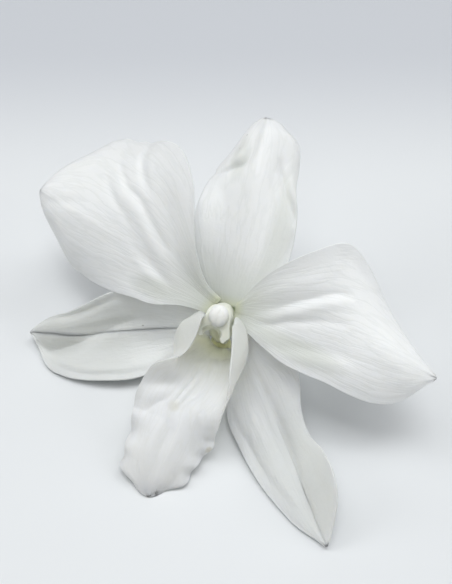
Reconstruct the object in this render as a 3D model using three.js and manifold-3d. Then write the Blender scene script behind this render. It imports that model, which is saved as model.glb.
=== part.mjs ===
// A cut dendrobium bloom, laid face up on a table: three sepals, two petals, a three-lobed lip, the
// column with its foot, anther cap and pollen masses, the chin behind the lip, and the stalk.
// Millimetres and degrees, +Z up, the table at z = 0. The bloom is drawn in its face frame (x right, y up
// the face, z out of it) and then leaned back.
import * as THREE from "three";
import { mergeVertices } from "three/addons/utils/BufferGeometryUtils.js";
import Module from "manifold-3d";

const wasm = await Module();
wasm.setup();

const FACE_LEAN = 40; // degrees between the face's own direction and straight up
const JOINT_HEIGHT = 13.7; // height of the point where sepals, petals and column meet
const COLUMN_YAW = 11; // degrees that column and lip turn to the right of the face's own direction
const BLADE_THICKNESS = 0.8;
const TIP_ROUNDNESS = 12; // the higher, the blunter a blade ends
const ROW_CROWDING = 1.5; // rows of facets draw together towards the tip
const SECTION_STEPS = 12; // straight pieces that a blade's curled half is added up from
const NEARBY = { lengthwise: 0.02, crosswise: 0.04 }; // how far apart the points lie that give a slope

const WHITE = { color: 0xf4f5f1, roughness: 0.6, metalness: 0 };
const IVORY = { color: 0xf1f1dc, roughness: 0.45, metalness: 0 };
const GREEN_WHITE = { color: 0xdfe6c4, roughness: 0.55, metalness: 0 };
const YELLOW = { color: 0xe8cf5a, roughness: 0.4, metalness: 0 };

const radians = THREE.MathUtils.degToRad;

/** Reads values at evenly spaced stations as a smooth curve, t from 0 to 1; a single number is constant. */
function along(list, t) {
  if (typeof list === "number") return list;
  const last = list.length - 1;
  const i = Math.min(Math.floor(t * last), last - 1);
  const s = t * last - i;
  const [a, b, c, d] = [-1, 0, 1, 2].map((k) => list[THREE.MathUtils.clamp(i + k, 0, last)]);
  const rise = (c - a) / 2;
  const fall = (d - b) / 2;
  return b + s * (rise + s * (3 * (c - b) - 2 * rise - fall + s * (rise + fall - 2 * (c - b))));
}

/** A sepal, petal or lip as a surface: the midrib follows the spine, and each half turns away from it. */
class Blade {
  /**
   * Left and right are as seen from the front, going from base to tip. Each half leaves the midrib at the
   * angle lift and turns by curl on the way to its edge. A fold is a crease or ridge.
   */
  constructor({ spine, left, right, face = [0, 0, 1], roll = 0, folds = [], wave = {}, ...rest }) {
    const places = spine.map((p) => new THREE.Vector3(...p));
    this.curve = new THREE.CatmullRomCurve3(places, false, "catmullrom");
    this.length = this.curve.getLength();
    this.face = new THREE.Vector3(...face).normalize();
    this.widest = Math.max(...left.width, ...right.width);
    this.wave = { height: 0, from: 0, count: 1, ...wave };
    this.tipRoundness = rest.tipRoundness ?? TIP_ROUNDNESS;
    Object.assign(this, { roll, left, right, folds });
  }

  /** The section beside the midrib, out to the side and up from it, at the share t of the half width. */
  section(half, u, t) {
    const [lift, curl] = [half.lift, half.curl].map((list) => radians(along(list, u)));
    const width = along(half.width, u) * Math.sqrt(Math.max(0, 1 - u ** this.tipRoundness));
    const step = (width * t) / SECTION_STEPS;
    let [out, up] = [0, 0];
    for (let k = 0; k < SECTION_STEPS; k++) {
      const angle = lift + (curl * t * (k + 0.5)) / SECTION_STEPS;
      out += Math.cos(angle) * step;
      up += Math.sin(angle) * step;
    }
    return { out, up, angle: lift + curl * t };
  }

  /** Height at (u, v) of the margin's wave. */
  waveHeight(u, v) {
    const { height, from, count } = this.wave;
    const s = Math.max(0, (u - from) / (1 - from));
    return height * Math.sin(2 * Math.PI * count * s) * v ** 4 * (1 - s ** 4);
  }

  /** Height at (u, v) of one fold: a rounded ridge, or a crease if negative, along a straight line. */
  foldHeight({ from, to, width, height }, u, v) {
    const line = new THREE.Vector2((to[0] - from[0]) * this.length, (to[1] - from[1]) * this.widest);
    const place = new THREE.Vector2((u - from[0]) * this.length, (v - from[1]) * this.widest);
    const s = THREE.MathUtils.clamp(place.dot(line) / line.lengthSq(), 0, 1);
    const off = place.addScaledVector(line, -s).length() / width;
    return height * Math.sin(Math.PI * THREE.MathUtils.lerp(0.15, 0.85, s)) * Math.exp(-off * off);
  }

  /** The point of the middle surface at u along the blade, 0 to 1, and v across it, -1 at the left edge. */
  point(u, v) {
    const tangent = this.curve.getTangentAt(u);
    const across = tangent.clone().cross(this.face).normalize();
    across.applyAxisAngle(tangent, radians(along(this.roll, u)));
    const normal = across.clone().cross(tangent);
    const { out, up, angle } = this.section(v < 0 ? this.left : this.right, u, Math.abs(v));
    const relief = this.folds.reduce((sum, fold) => sum + this.foldHeight(fold, u, v), this.waveHeight(u, v));
    return this.curve
      .getPointAt(u)
      .addScaledVector(across, Math.sign(v) * (out - Math.sin(angle) * relief))
      .addScaledVector(normal, up + Math.cos(angle) * relief);
  }

  /** The surface's own direction at (u, v), out of the inner face. */
  normalAt(u, v) {
    const { lengthwise: du, crosswise: dv } = NEARBY;
    const [a, b] = [Math.max(0, u - du), Math.min(1 - du, u + du)];
    const [c, d] = [Math.max(-1, v - dv), Math.min(1, v + dv)];
    const mid = THREE.MathUtils.clamp(u, a, b);
    const rise = this.point(b, v).sub(this.point(a, v));
    return this.point(mid, d).sub(this.point(mid, c)).cross(rise).normalize();
  }
}

/** A geometry from its points and the corners of its triangles. */
function meshOf(points, index) {
  const positions = points.flatMap((p) => [p.x, p.y, p.z]);
  return new THREE.BufferGeometry()
    .setAttribute("position", new THREE.Float32BufferAttribute(positions, 3))
    .setIndex(index);
}

/** A closed mesh from rings of points that all have the same count; the ends are closed by a point each. */
function skin(rings, firstCap, lastCap) {
  const count = rings[0].length;
  const index = [];
  const at = (i, j) => 1 + i * count + (j % count);
  const lastPoint = 1 + rings.length * count;
  for (let j = 0; j < count; j++) {
    index.push(0, at(0, j + 1), at(0, j));
    for (let i = 0; i + 1 < rings.length; i++) {
      index.push(at(i, j), at(i, j + 1), at(i + 1, j + 1));
      index.push(at(i, j), at(i + 1, j + 1), at(i + 1, j));
    }
    index.push(lastPoint, at(rings.length - 1, j), at(rings.length - 1, j + 1));
  }
  return meshOf([firstCap, ...rings.flat(), lastCap], index);
}

/**
 * The closed solid of a blade. Each row runs once round, back along the inner face and forth along the
 * outer one, both faces are split into triangles alike, and the last row ends in a point at the tip.
 */
function bladeGeometry(blade, rows, columns) {
  const faceRow = (u, offset) =>
    Array.from({ length: columns + 1 }, (_, j) => {
      const v = (2 * j) / columns - 1;
      return blade.point(u, v).addScaledVector(blade.normalAt(u, v), offset);
    });
  const half = BLADE_THICKNESS / 2;
  const points = Array.from({ length: rows }, (_, i) => {
    const u = 1 - (1 - i / rows) ** ROW_CROWDING;
    return [...faceRow(u, half).reverse(), ...faceRow(u, -half)];
  }).flat();
  points.push(blade.point(1, 0));

  const index = [];
  const last = rows - 1;
  const inner = (i, j) => i * 2 * (columns + 1) + columns - j;
  const outer = (i, j) => i * 2 * (columns + 1) + columns + 1 + j;
  const strip = (sideA, sideB, flip) => {
    const triangles = [[sideA(last), sideB(last), points.length - 1]];
    for (let i = 0; i < last; i++) {
      triangles.push([sideA(i), sideB(i), sideB(i + 1)], [sideA(i), sideB(i + 1), sideA(i + 1)]);
    }
    for (const [a, b, c] of triangles) index.push(...(flip ? [a, c, b] : [a, b, c]));
  };
  for (let j = 0; j < columns; j++) {
    strip((i) => inner(i, j), (i) => inner(i, j + 1), false);
    strip((i) => outer(i, j), (i) => outer(i, j + 1), true);
    index.push(inner(0, j), outer(0, j), outer(0, j + 1), inner(0, j), outer(0, j + 1), inner(0, j + 1));
  }
  strip((i) => outer(i, 0), (i) => inner(i, 0), false);
  strip((i) => inner(i, columns), (i) => outer(i, columns), false);
  return meshOf(points, index);
}

/** Turns a closed geometry into a solid that can be joined and cut. */
function solid(geometry) {
  const bare = geometry.clone();
  bare.deleteAttribute("normal");
  bare.deleteAttribute("uv");
  const merged = mergeVertices(bare, 1e-4);
  const vertProperties = new Float32Array(merged.attributes.position.array);
  const triVerts = new Uint32Array(merged.index.array);
  return new wasm.Manifold(new wasm.Mesh({ numProp: 3, vertProperties, triVerts }));
}

/** Turns a solid back into a geometry. */
function geometryOf(manifold) {
  const { vertProperties, triVerts } = manifold.getMesh();
  return new THREE.BufferGeometry()
    .setAttribute("position", new THREE.Float32BufferAttribute(vertProperties, 3))
    .setIndex(Array.from(triVerts));
}

/** A ball stretched to the three radii and set at a place. */
function ellipsoid({ radii, place, segments }) {
  return new THREE.SphereGeometry(1, segments, segments / 2).scale(...radii).translate(...place);
}

const DORSAL_SEPAL = new Blade({
  spine: [[-0.2, 2.0, -1.8], [-0.9, 12, -0.4], [-2.3, 24, 0.0], [-4.3, 35.5, -1.2]],
  left: {
    width: [2.8, 6.6, 8.9, 9.4, 9.6, 9.4, 8.9, 8.8, 6.5, 3.8],
    lift: [0, 0, 0, -6, -6, -3],
    curl: [0, 6, 14, 0, -46, -56],
  },
  right: {
    width: [2.8, 6.3, 8.3, 9.1, 9.1, 8.5, 7.5, 7.8, 7.5, 5.2],
    lift: [0, -2, -6, -12, -12, -6],
    curl: [0, 2, 2, -6, -40, -50],
  },
  folds: [
    { from: [0.68, -0.95], to: [0.83, -0.19], width: 1.4, height: -0.7 },
    { from: [0.75, 0.56], to: [0.52, 0.95], width: 1.4, height: -0.7 },
  ],
  tipRoundness: 26,
});

const LEFT_PETAL = new Blade({
  spine: [[-2.3, 0.9, -0.4], [-12, 4.3, 3.4], [-27, 7.4, 4.0], [-41.8, 9.9, 0.6]],
  left: {
    width: [2.2, 3.8, 6.8, 8.1, 9.8, 11.2, 12.5, 13.0, 8.6, 6.4],
    lift: [4, -2, -7, -12, -8],
    curl: [20, 10, -18, -44, -30],
  },
  right: {
    width: [1.6, 2.6, 7.0, 15.8, 19.8, 18.9, 17.0, 16.6, 12.5, 10.4],
    lift: [10, 12, 8, -2, -6],
    curl: [10, 4, -4, -14, -20],
  },
  folds: [
    { from: [0.64, 0.52], to: [0.26, 0.03], width: 1.6, height: 0.4 },
    { from: [0.66, 0.68], to: [0.36, 0.26], width: 1.5, height: -0.4 },
  ],
});

const RIGHT_PETAL = new Blade({
  spine: [[2.9, 0.9, -0.4], [12, 1.2, 3.2], [26, 1.4, 4.2], [39.0, 1.9, 1.6]],
  left: {
    width: [1.8, 6.1, 10.4, 14.3, 17.2, 15.0, 11.3, 7.7, 4.2, 1.7],
    lift: [10, 10, 2, -4, -6],
    curl: [14, 8, -14, -34, -24],
  },
  right: {
    width: [1.8, 2.2, 4.1, 5.8, 6.2, 6.4, 7.1, 7.4, 6.3, 2.2],
    lift: [10, 0, 0, -4, -4],
    curl: [20, 10, 4, -8, -14],
  },
  folds: [
    { from: [0.15, 0], to: [0.54, -0.48], width: 1.4, height: 0.4 },
    { from: [0.17, 0.14], to: [0.53, -0.25], width: 1.3, height: -0.4 },
  ],
});

const LEFT_LATERAL_SEPAL = new Blade({
  spine: [[-3.1, -3.2, -2.6], [-11, -6.8, -3.4], [-23, -12.3, -2.8], [-35.2, -16.4, -1.4]],
  roll: [-40, -14, 0, 0, 0],
  left: {
    width: [2.8, 5.3, 7.1, 8.6, 9.6, 9.7, 9.5, 8.8, 7.2, 1.8],
    lift: [0, 12, 16, 16, 10],
    curl: [4, 10, 14, 16, 10],
  },
  right: {
    width: [3.3, 5.0, 7.5, 9.0, 8.9, 7.9, 6.4, 4.7, 3.7, 2.0],
    lift: [0, 17, 25, 29, 20],
    curl: [4, 10, 10, 6, 0],
  },
  folds: [
    { from: [0.5, 0], to: [0.97, 0], width: 2.2, height: 1.0 },
    { from: [0.88, -0.52], to: [0.36, 0.28], width: 1.7, height: -0.9 },
  ],
});

const RIGHT_LATERAL_SEPAL = new Blade({
  spine: [[3.3, -3.1, -2.7], [10.5, -10.6, -2.2], [21.2, -20.3, 1.6], [31.8, -29.6, 8.4]],
  face: [0, -0.2, 1],
  roll: [40, 14, 0, 0, 0],
  left: {
    width: [3.2, 6.9, 8.8, 7.4, 5.5, 5.3, 7.7, 9.5, 8.2, 3.1],
    lift: [0, -4, 2, 24, 20],
    curl: [4, 0, 4, 8, 4],
  },
  right: {
    width: [3, 4.9, 6.9, 7.9, 7.7, 7.4, 6.7, 5.4, 3.8, 1.1],
    lift: [0, 13, 21, 26, 17],
    curl: [4, 10, 12, 12, 8],
  },
});

const LIP = new Blade({
  spine: [
    [0.5, -7.0, -4.6],
    [0.1, -8.9, -1.3],
    [0, -10.6, 2.0],
    [-0.4, -13.4, 5.4],
    [-1.6, -18.6, 7.8],
    [-1.8, -26.2, 9.6],
    [-1.0, -33.1, 10.5],
  ],
  left: {
    width: [1.9, 8.6, 14.6, 17.3, 14.6, 9.6, 8.0, 8.7, 7.9, 7.1, 7.5, 4.6],
    lift: [4, 4, 0, 0, 0, 0, -4, -6, -6, -4, 0],
    curl: [64, 112, 150, 156, 133, 74, 11, -20, -24, -20, -20, -30],
  },
  right: {
    width: [1.9, 7.2, 12.3, 16.0, 10.7, 8.1, 7.6, 6.9, 6.6, 6.6, 7.2, 6.4],
    lift: [4, 4, 0, 0, 0, 0, -4, -6, -6, -4, 0],
    curl: [60, 91, 135, 146, 128, 29, -6, -14, -21, -15, -18, -30],
  },
  folds: [
    { from: [0.2, 0], to: [0.56, 0.02], width: 1.0, height: 0.4 },
    { from: [0.55, 0.05], to: [0.96, 0.1], width: 1.2, height: -0.6 },
    { from: [0.5, 1], to: [0.42, 0.35], width: 1.0, height: -0.6 },
  ],
  wave: { height: 0.5, from: 0.6, count: 2.8 },
  tipRoundness: 9,
});

/**
 * A solid round a centre line. Each station has a centre and its reach from there, as values read from
 * straight up over the side to straight down; both sides are alike.
 */
function bodyAlong(stations, { sides, rings, ripple = () => 0 }) {
  const curve = new THREE.CatmullRomCurve3(stations.map((s) => new THREE.Vector3(...s.centre)));
  const sideways = new THREE.Vector3(1, 0, 0);
  const outline = Array.from({ length: rings }, (_, i) => {
    const t = i / (rings - 1);
    const upward = sideways.clone().cross(curve.getTangent(t)).negate().normalize();
    return Array.from({ length: sides }, (_, j) => {
      const turn = j / sides;
      const fromTop = 1 - Math.abs(1 - 2 * turn);
      const reaches = stations.map((s) => along(s.reach, fromTop));
      const reach = along(reaches, t) * (1 + ripple(t, fromTop));
      return curve
        .getPoint(t)
        .addScaledVector(sideways, -Math.sin(2 * Math.PI * turn) * reach)
        .addScaledVector(upward, Math.cos(2 * Math.PI * turn) * reach);
    });
  });
  return skin(outline, curve.getPoint(0), curve.getPoint(1));
}

const COLUMN_STATIONS = [
  { centre: [0, 0, -1.6], reach: [1.6, 1.7, 1.8, 1.9, 1.8, 1.8, 1.8] },
  { centre: [0, 0, 0], reach: [1.7, 1.7, 1.8, 2.0, 2.2, 2.2, 2.2] },
  { centre: [0, 0, 2], reach: [1.6, 1.6, 1.8, 2.1, 2.4, 2.7, 2.4] },
  { centre: [0, 0, 4], reach: [1.5, 1.6, 1.8, 2.2, 2.7, 4.1, 2.9] },
  { centre: [0, 0, 5.4], reach: [1.5, 1.6, 1.9, 2.2, 2.8, 5.0, 3.3] },
  { centre: [0, 0, 6.4], reach: [1.2, 1.3, 1.6, 2.0, 2.7, 5.2, 3.1] },
];
const FOOT_STATIONS = [
  { centre: [0, -0.4, 0.4], reach: [1.2, 1.8, 1.1] },
  { centre: [0.2, -2.1, -0.9], reach: [0.8, 2.1, 0.8] },
  { centre: [0.5, -4.0, -2.9], reach: [0.7, 1.8, 0.7] },
  { centre: [0.9, -5.4, -5.3], reach: [0.6, 1.2, 0.6] },
];
const CHIN_STATIONS = [
  { centre: [1.0, -5.6, -5.6], reach: [1.3, 1.9, 1.0] },
  { centre: [1.4, -6.4, -7.4], reach: [1.5, 1.9, 1.3] },
  { centre: [1.9, -7.1, -9.6], reach: [0.7, 0.8, 0.7] },
];
const STALK_STATIONS = [
  { centre: [-1.6, 26.0, 0.78], reach: [1.0, 1.0, 1.0] },
  { centre: [-0.9, 20.4, 0.78], reach: [1.0, 1.0, 1.0] },
  { centre: [-0.4, 14.4, 1.5], reach: [1.1, 1.1, 1.1] },
  { centre: [-0.1, 9.0, 4.0], reach: [1.3, 1.3, 1.3] },
  { centre: [0, 4.6, 8.0], reach: [1.5, 1.5, 1.5] },
  { centre: [0, 2.4, 10.8], reach: [1.7, 1.7, 1.4] },
  { centre: [-0.2, 1.6, 11.8], reach: [3.8, 4.0, 0.9] },
];
const RIM_TEETH = { fromLength: 0.85, fromTop: 0.65, height: 0.05, turns: 9.5 };
const STIGMA_HOLLOW = { radii: [1.75, 1.25, 2.2], place: [-0.2, -3.7, 6.2], segments: 16 };
const POLLEN_BED = { radii: [1.25, 1.4, 1.0], place: [0, -0.45, 6.55], segments: 12 };
const POLLEN_MASS = { radii: [0.34, 0.62, 0.26], segments: 10 };
const POLLEN_HEIGHT = 6.22;
const POLLEN_MIDDLE = { x: 0, y: -0.45, apart: 0.42 };
const CAP_PROFILE = [
  [0, 0],
  [1.5, 0],
  [1.72, 0.3],
  [1.6, 0.85],
  [1.1, 1.35],
  [0, 1.6],
];
const CAP_SEGMENTS = 20;
const CAP_PLACE = [0.05, -0.45, 6.7];
const CAP_STRETCH = 1.12; // the cap is longer down the face than across

/** The column with its foot, hollowed under the cap and below it, its lower rim finely toothed. */
function columnGeometry() {
  const ripple = (t, fromTop) => {
    const toothed = t > RIM_TEETH.fromLength && fromTop > RIM_TEETH.fromTop;
    return toothed ? RIM_TEETH.height * Math.sin(2 * Math.PI * RIM_TEETH.turns * fromTop) : 0;
  };
  const body = solid(bodyAlong(COLUMN_STATIONS, { sides: 48, rings: 14, ripple }));
  const foot = solid(bodyAlong(FOOT_STATIONS, { sides: 16, rings: 10 }));
  const hollows = solid(ellipsoid(STIGMA_HOLLOW)).add(solid(ellipsoid(POLLEN_BED)));
  return geometryOf(body.add(foot).subtract(hollows));
}

/** The anther cap: a low dome, flat below. */
function capGeometry() {
  const outline = CAP_PROFILE.map(([across, up]) => new THREE.Vector2(across, up));
  return new THREE.LatheGeometry(outline, CAP_SEGMENTS)
    .rotateX(Math.PI / 2)
    .scale(1, CAP_STRETCH, 1)
    .translate(...CAP_PLACE);
}

/** One of the two pollen masses; side is -1 for the left one and 1 for the right one. */
function pollenGeometry(side) {
  const { x, y, apart } = POLLEN_MIDDLE;
  return ellipsoid({ ...POLLEN_MASS, place: [x + side * apart, y, POLLEN_HEIGHT] });
}

/** The stalk, its underside flat where it lies on the table. */
function stalkGeometry() {
  const stalk = bodyAlong(STALK_STATIONS, { sides: 12, rings: 26 });
  const place = stalk.attributes.position;
  for (let i = 0; i < place.count; i++) place.setZ(i, Math.max(0, place.getZ(i)));
  return stalk;
}

const flower = new THREE.Group();
const bloom = new THREE.Group();
bloom.rotation.x = radians(FACE_LEAN);
bloom.position.z = JOINT_HEIGHT;
flower.add(bloom);
const throat = new THREE.Group();
throat.rotation.y = radians(COLUMN_YAW);
bloom.add(throat);

const PIECES = [
  ["pedicel", flower, GREEN_WHITE, stalkGeometry()],
  ["column", throat, IVORY, columnGeometry()],
  ["anther_cap", throat, WHITE, capGeometry()],
  ["mentum", throat, GREEN_WHITE, bodyAlong(CHIN_STATIONS, { sides: 16, rings: 9 })],
  ["pollinium_left", throat, YELLOW, pollenGeometry(-1)],
  ["pollinium_right", throat, YELLOW, pollenGeometry(1)],
  ["dorsal_sepal", bloom, WHITE, bladeGeometry(DORSAL_SEPAL, 18, 14)],
  ["petal_left", bloom, WHITE, bladeGeometry(LEFT_PETAL, 18, 16)],
  ["petal_right", bloom, WHITE, bladeGeometry(RIGHT_PETAL, 18, 16)],
  ["lateral_sepal_left", bloom, WHITE, bladeGeometry(LEFT_LATERAL_SEPAL, 18, 12)],
  ["lateral_sepal_right", bloom, WHITE, bladeGeometry(RIGHT_LATERAL_SEPAL, 18, 12)],
  ["lip", throat, WHITE, bladeGeometry(LIP, 28, 24)],
];
for (const [name, group, look, geometry] of PIECES) {
  const mesh = new THREE.Mesh(geometry, new THREE.MeshStandardMaterial(look));
  mesh.name = name;
  group.add(mesh);
}

// stands over the middle of the space that the flower takes
flower.updateMatrixWorld(true);
const space = new THREE.Box3().setFromObject(flower, true);
flower.position.set(-(space.min.x + space.max.x) / 2, -(space.min.y + space.max.y) / 2, -space.min.z);

export default flower;
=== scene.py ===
"""A cut dendrobium bloom lying face up on a pale table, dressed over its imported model. Metres, +Z up."""

import logging
import math
from collections.abc import Sequence
from dataclasses import dataclass, replace
from enum import Enum

import bpy
import numpy as np
from mathutils import Matrix, Vector


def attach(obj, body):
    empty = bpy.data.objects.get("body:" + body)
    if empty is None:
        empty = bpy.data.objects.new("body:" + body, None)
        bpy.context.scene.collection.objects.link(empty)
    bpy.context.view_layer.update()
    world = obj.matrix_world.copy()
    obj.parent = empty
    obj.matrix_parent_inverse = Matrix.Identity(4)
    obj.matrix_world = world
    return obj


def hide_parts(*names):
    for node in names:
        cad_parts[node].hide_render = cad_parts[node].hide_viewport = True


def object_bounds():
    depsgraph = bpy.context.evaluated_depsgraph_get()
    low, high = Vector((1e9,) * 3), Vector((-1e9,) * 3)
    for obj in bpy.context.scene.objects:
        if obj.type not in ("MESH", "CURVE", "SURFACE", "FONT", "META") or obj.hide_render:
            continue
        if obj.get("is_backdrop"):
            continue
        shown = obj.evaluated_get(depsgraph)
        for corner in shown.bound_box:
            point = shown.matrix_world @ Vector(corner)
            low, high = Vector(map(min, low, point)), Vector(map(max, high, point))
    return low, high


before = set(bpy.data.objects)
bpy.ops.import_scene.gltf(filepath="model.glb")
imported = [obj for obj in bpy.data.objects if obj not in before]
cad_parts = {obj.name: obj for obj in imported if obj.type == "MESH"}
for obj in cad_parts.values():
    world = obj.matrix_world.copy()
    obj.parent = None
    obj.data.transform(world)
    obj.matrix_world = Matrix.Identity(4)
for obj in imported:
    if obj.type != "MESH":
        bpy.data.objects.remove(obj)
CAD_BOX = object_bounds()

log = logging.getLogger("bloom")

Colour = tuple[float, float, float]
Point = tuple[float, float, float]
Pair = tuple[float, float]
Input = bpy.types.NodeSocket | float | Sequence[float]

MM = 0.001
TURN = 2 * np.pi
FACE_LEAN = math.radians(40)  # between the face's own direction and straight up
COLUMN_YAW = math.radians(11)  # column and lip turn to the right of the face's own direction
JOINT_PLACE = Vector((1.4, 1.7623, 13.7)) * MM  # where sepals, petals and column meet
IMAGE_HEIGHT = 584  # in pixels
SAME_PLACE = 1e-6  # vertices that are closer than this are merged
BODY = "root"


class Place(Enum):
    """The frames that the pieces are drawn in, in millimetres."""

    ROW = "row"
    BLOOM = "bloom"
    THROAT = "throat"

    def matrix(self) -> Matrix:
        """Returns the turn and shift from this frame to the row frame, from millimetres to metres."""
        bloom = Matrix.Translation(JOINT_PLACE) @ Matrix.Rotation(FACE_LEAN, 4, "X")
        frames = {
            Place.ROW: Matrix.Translation((JOINT_PLACE.x, JOINT_PLACE.y, 0)),
            Place.BLOOM: bloom,
            Place.THROAT: bloom @ Matrix.Rotation(COLUMN_YAW, 4, "Y"),
        }
        return frames[self] @ Matrix.Scale(MM, 4)


def follow(knots: Sequence[np.ndarray], s: np.ndarray) -> tuple[np.ndarray, np.ndarray]:
    """Follows the smooth curve through four knots, between the second and the third.

    Args:
        knots: the four knots.
        s: shares of the way from the second knot to the third.

    Returns:
        The curve's value at each share, and its rate of change there.
    """
    a, b, c, d = knots
    rise, fall = (c - a) / 2, (d - b) / 2
    bend, twist = 3 * (c - b) - 2 * rise - fall, rise + fall - 2 * (c - b)
    return b + s * (rise + s * (bend + s * twist)), rise + s * (2 * bend + 3 * s * twist)


def smooth(values: Sequence, t: np.ndarray, each: bool = False) -> np.ndarray:
    """Reads values at evenly spaced stations as a smooth curve.

    Args:
        values: for each station a number, a point, or as many numbers as there are places.
        t: places along the curve, from 0 to 1.
        each: whether a station has one number for each place.

    Returns:
        The curve's value at each place.
    """
    stations = np.asarray(values, float)
    last = len(stations) - 1
    i = np.minimum((t * last).astype(int), last - 1)
    s = t * last - i
    rows = [np.clip(i + k, 0, last) for k in (-1, 0, 1, 2)]
    if each:
        return follow([stations[row, np.arange(len(t))] for row in rows], s)[0]
    return follow([stations[row] for row in rows], s[:, None] if stations.ndim > 1 else s)[0]


def trace(points: Sequence[Sequence[float]], t: np.ndarray) -> tuple[np.ndarray, np.ndarray]:
    """Traces a smooth line through points.

    Args:
        points: the places that it passes through, at even steps of t.
        t: shares of the way, from 0 at the first point to 1 at the last.

    Returns:
        The line's places, and its directions there, which are not of unit length.
    """
    p = np.asarray(points, float)
    last = len(p) - 1
    padded = np.vstack([2 * p[0] - p[1], p, 2 * p[-1] - p[-2]])
    i = np.minimum((t * last).astype(int), last - 1)
    return follow([padded[i + k] for k in range(4)], (t * last - i)[:, None])


def ramp(low: float, high: float, x: np.ndarray) -> np.ndarray:
    """Returns a soft step of x, 0 below low and 1 above high."""
    t = np.clip((x - low) / (high - low), 0, 1)
    return t * t * (3 - 2 * t)


class Spine:
    """A smooth centre line through points in millimetres, read by its share of length."""

    SAMPLES = 400
    STEP = 0.004  # half the share of length between the two places that give a direction

    def __init__(self, points: Sequence[Sequence[float]]) -> None:
        """Samples the line.

        Args:
            points: the places that it passes through.
        """
        self.line = trace(points, np.linspace(0, 1, self.SAMPLES))[0]
        steps = np.linalg.norm(np.diff(self.line, axis=0), axis=1)
        self.reach = np.concatenate([[0], np.cumsum(steps)])
        self.length = self.reach[-1]

    def at(self, u: np.ndarray) -> np.ndarray:
        """Returns the points at the shares u of the length."""
        s = np.clip(u, 0, 1) * self.length
        return np.stack([np.interp(s, self.reach, self.line[:, k]) for k in range(3)], -1)

    def along(self, u: np.ndarray) -> np.ndarray:
        """Returns the line's direction at the shares u of the length."""
        step = self.at(u + self.STEP) - self.at(u - self.STEP)
        return step / np.linalg.norm(step, axis=-1, keepdims=True)


def deselect() -> None:
    """Leaves object mode with nothing selected."""
    if bpy.context.object and bpy.context.object.mode != "OBJECT":
        bpy.ops.object.mode_set(mode="OBJECT")
    bpy.ops.object.select_all(action="DESELECT")


def name_new(name: str) -> bpy.types.Object:
    """Names the primitive that was added last, with its mesh, and returns it."""
    piece = bpy.context.active_object
    piece.name = piece.data.name = name
    return piece


def work_on(piece: bpy.types.Object) -> None:
    """Makes a piece the only one selected."""
    deselect()
    bpy.context.view_layer.objects.active = piece
    piece.select_set(True)


def read_points(piece: bpy.types.Object) -> np.ndarray:
    """Returns a piece's vertices as an array."""
    points = np.empty(len(piece.data.vertices) * 3)
    piece.data.vertices.foreach_get("co", points)
    return points.reshape(-1, 3)


def write_points(piece: bpy.types.Object, points: np.ndarray, place: Place) -> None:
    """Moves a piece's vertices to points that are given in one of the frames.

    Args:
        piece: the piece to shape.
        points: one point for each vertex, in millimetres.
        place: the frame that they are in.
    """
    m = np.array(place.matrix())
    piece.data.vertices.foreach_set("co", (points @ m[:3, :3].T + m[:3, 3]).ravel())
    piece.data.update()


def modify(piece: bpy.types.Object, kind: str, **settings: object) -> None:
    """Adds a modifier to a piece and applies it.

    Args:
        piece: the piece to change.
        kind: the modifier's type.
        settings: its properties.
    """
    modifier = piece.modifiers.new(kind.lower(), kind)
    for name, value in settings.items():
        setattr(modifier, name, value)
    work_on(piece)
    bpy.ops.object.modifier_apply(modifier=modifier.name)


def merge_doubles(piece: bpy.types.Object) -> None:
    """Joins a piece's vertices that lie together."""
    work_on(piece)
    bpy.ops.object.mode_set(mode="EDIT")
    bpy.ops.mesh.select_all(action="SELECT")
    bpy.ops.mesh.remove_doubles(threshold=SAME_PLACE)
    bpy.ops.object.mode_set(mode="OBJECT")


class Nodes:
    """Adds and links the nodes of one material or group."""

    def __init__(self, tree: bpy.types.NodeTree) -> None:
        """Starts with an empty tree."""
        self.tree = tree
        tree.nodes.clear()

    def add(self, kind: str, inputs: dict | None = None, **settings: object) -> bpy.types.Node:
        """Adds a node.

        Args:
            kind: the node's type name, without the leading ShaderNode.
            inputs: values or sockets for its inputs, by name or number.
            settings: the node's own properties.

        Returns:
            The node.
        """
        node = self.tree.nodes.new(kind if kind.startswith("NodeGroup") else "ShaderNode" + kind)
        for name, value in settings.items():
            setattr(node, name, value)
        for name, value in (inputs or {}).items():
            if isinstance(value, bpy.types.NodeSocket):
                self.tree.links.new(value, node.inputs[name])
            else:
                node.inputs[name].default_value = value
        return node

    def math(self, operation: str, *values: Input) -> bpy.types.NodeSocket:
        """Returns the result of a Math node on numbers or sockets."""
        return self.add("Math", dict(enumerate(values)), operation=operation).outputs[0]

    def blend(self, share: Input, first: Input, second: Input) -> bpy.types.NodeSocket:
        """Returns a mix of two colours."""
        return self.add("Mix", {0: share, 6: first, 7: second}, data_type="RGBA").outputs[2]

    def window(self, value: Input, low: float, high: float) -> bpy.types.NodeSocket:
        """Returns a soft step of value, 0 at low and 1 at high."""
        steps = {0: value, 1: low, 2: high, 3: 0.0, 4: 1.0}
        return self.add("MapRange", steps, interpolation_type="SMOOTHSTEP").outputs[0]

    def noise(self, place: Input, scale: float, detail: float) -> bpy.types.NodeSocket:
        """Returns a cloudy pattern around one half."""
        return self.add("TexNoise", {"Vector": place, "Scale": scale, "Detail": detail}).outputs[0]

    def object_place(self) -> bpy.types.NodeSocket:
        """Returns the place on the piece, in metres."""
        return self.add("TexCoord").outputs["Object"]

    def blade_place(self) -> tuple[bpy.types.NodeSocket, bpy.types.NodeSocket]:
        """Returns the place across the fan of veins, and along the blade."""
        part = self.add("SeparateXYZ", {0: self.add("UVMap").outputs[0]})
        return part.outputs[0], part.outputs[1]


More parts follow.
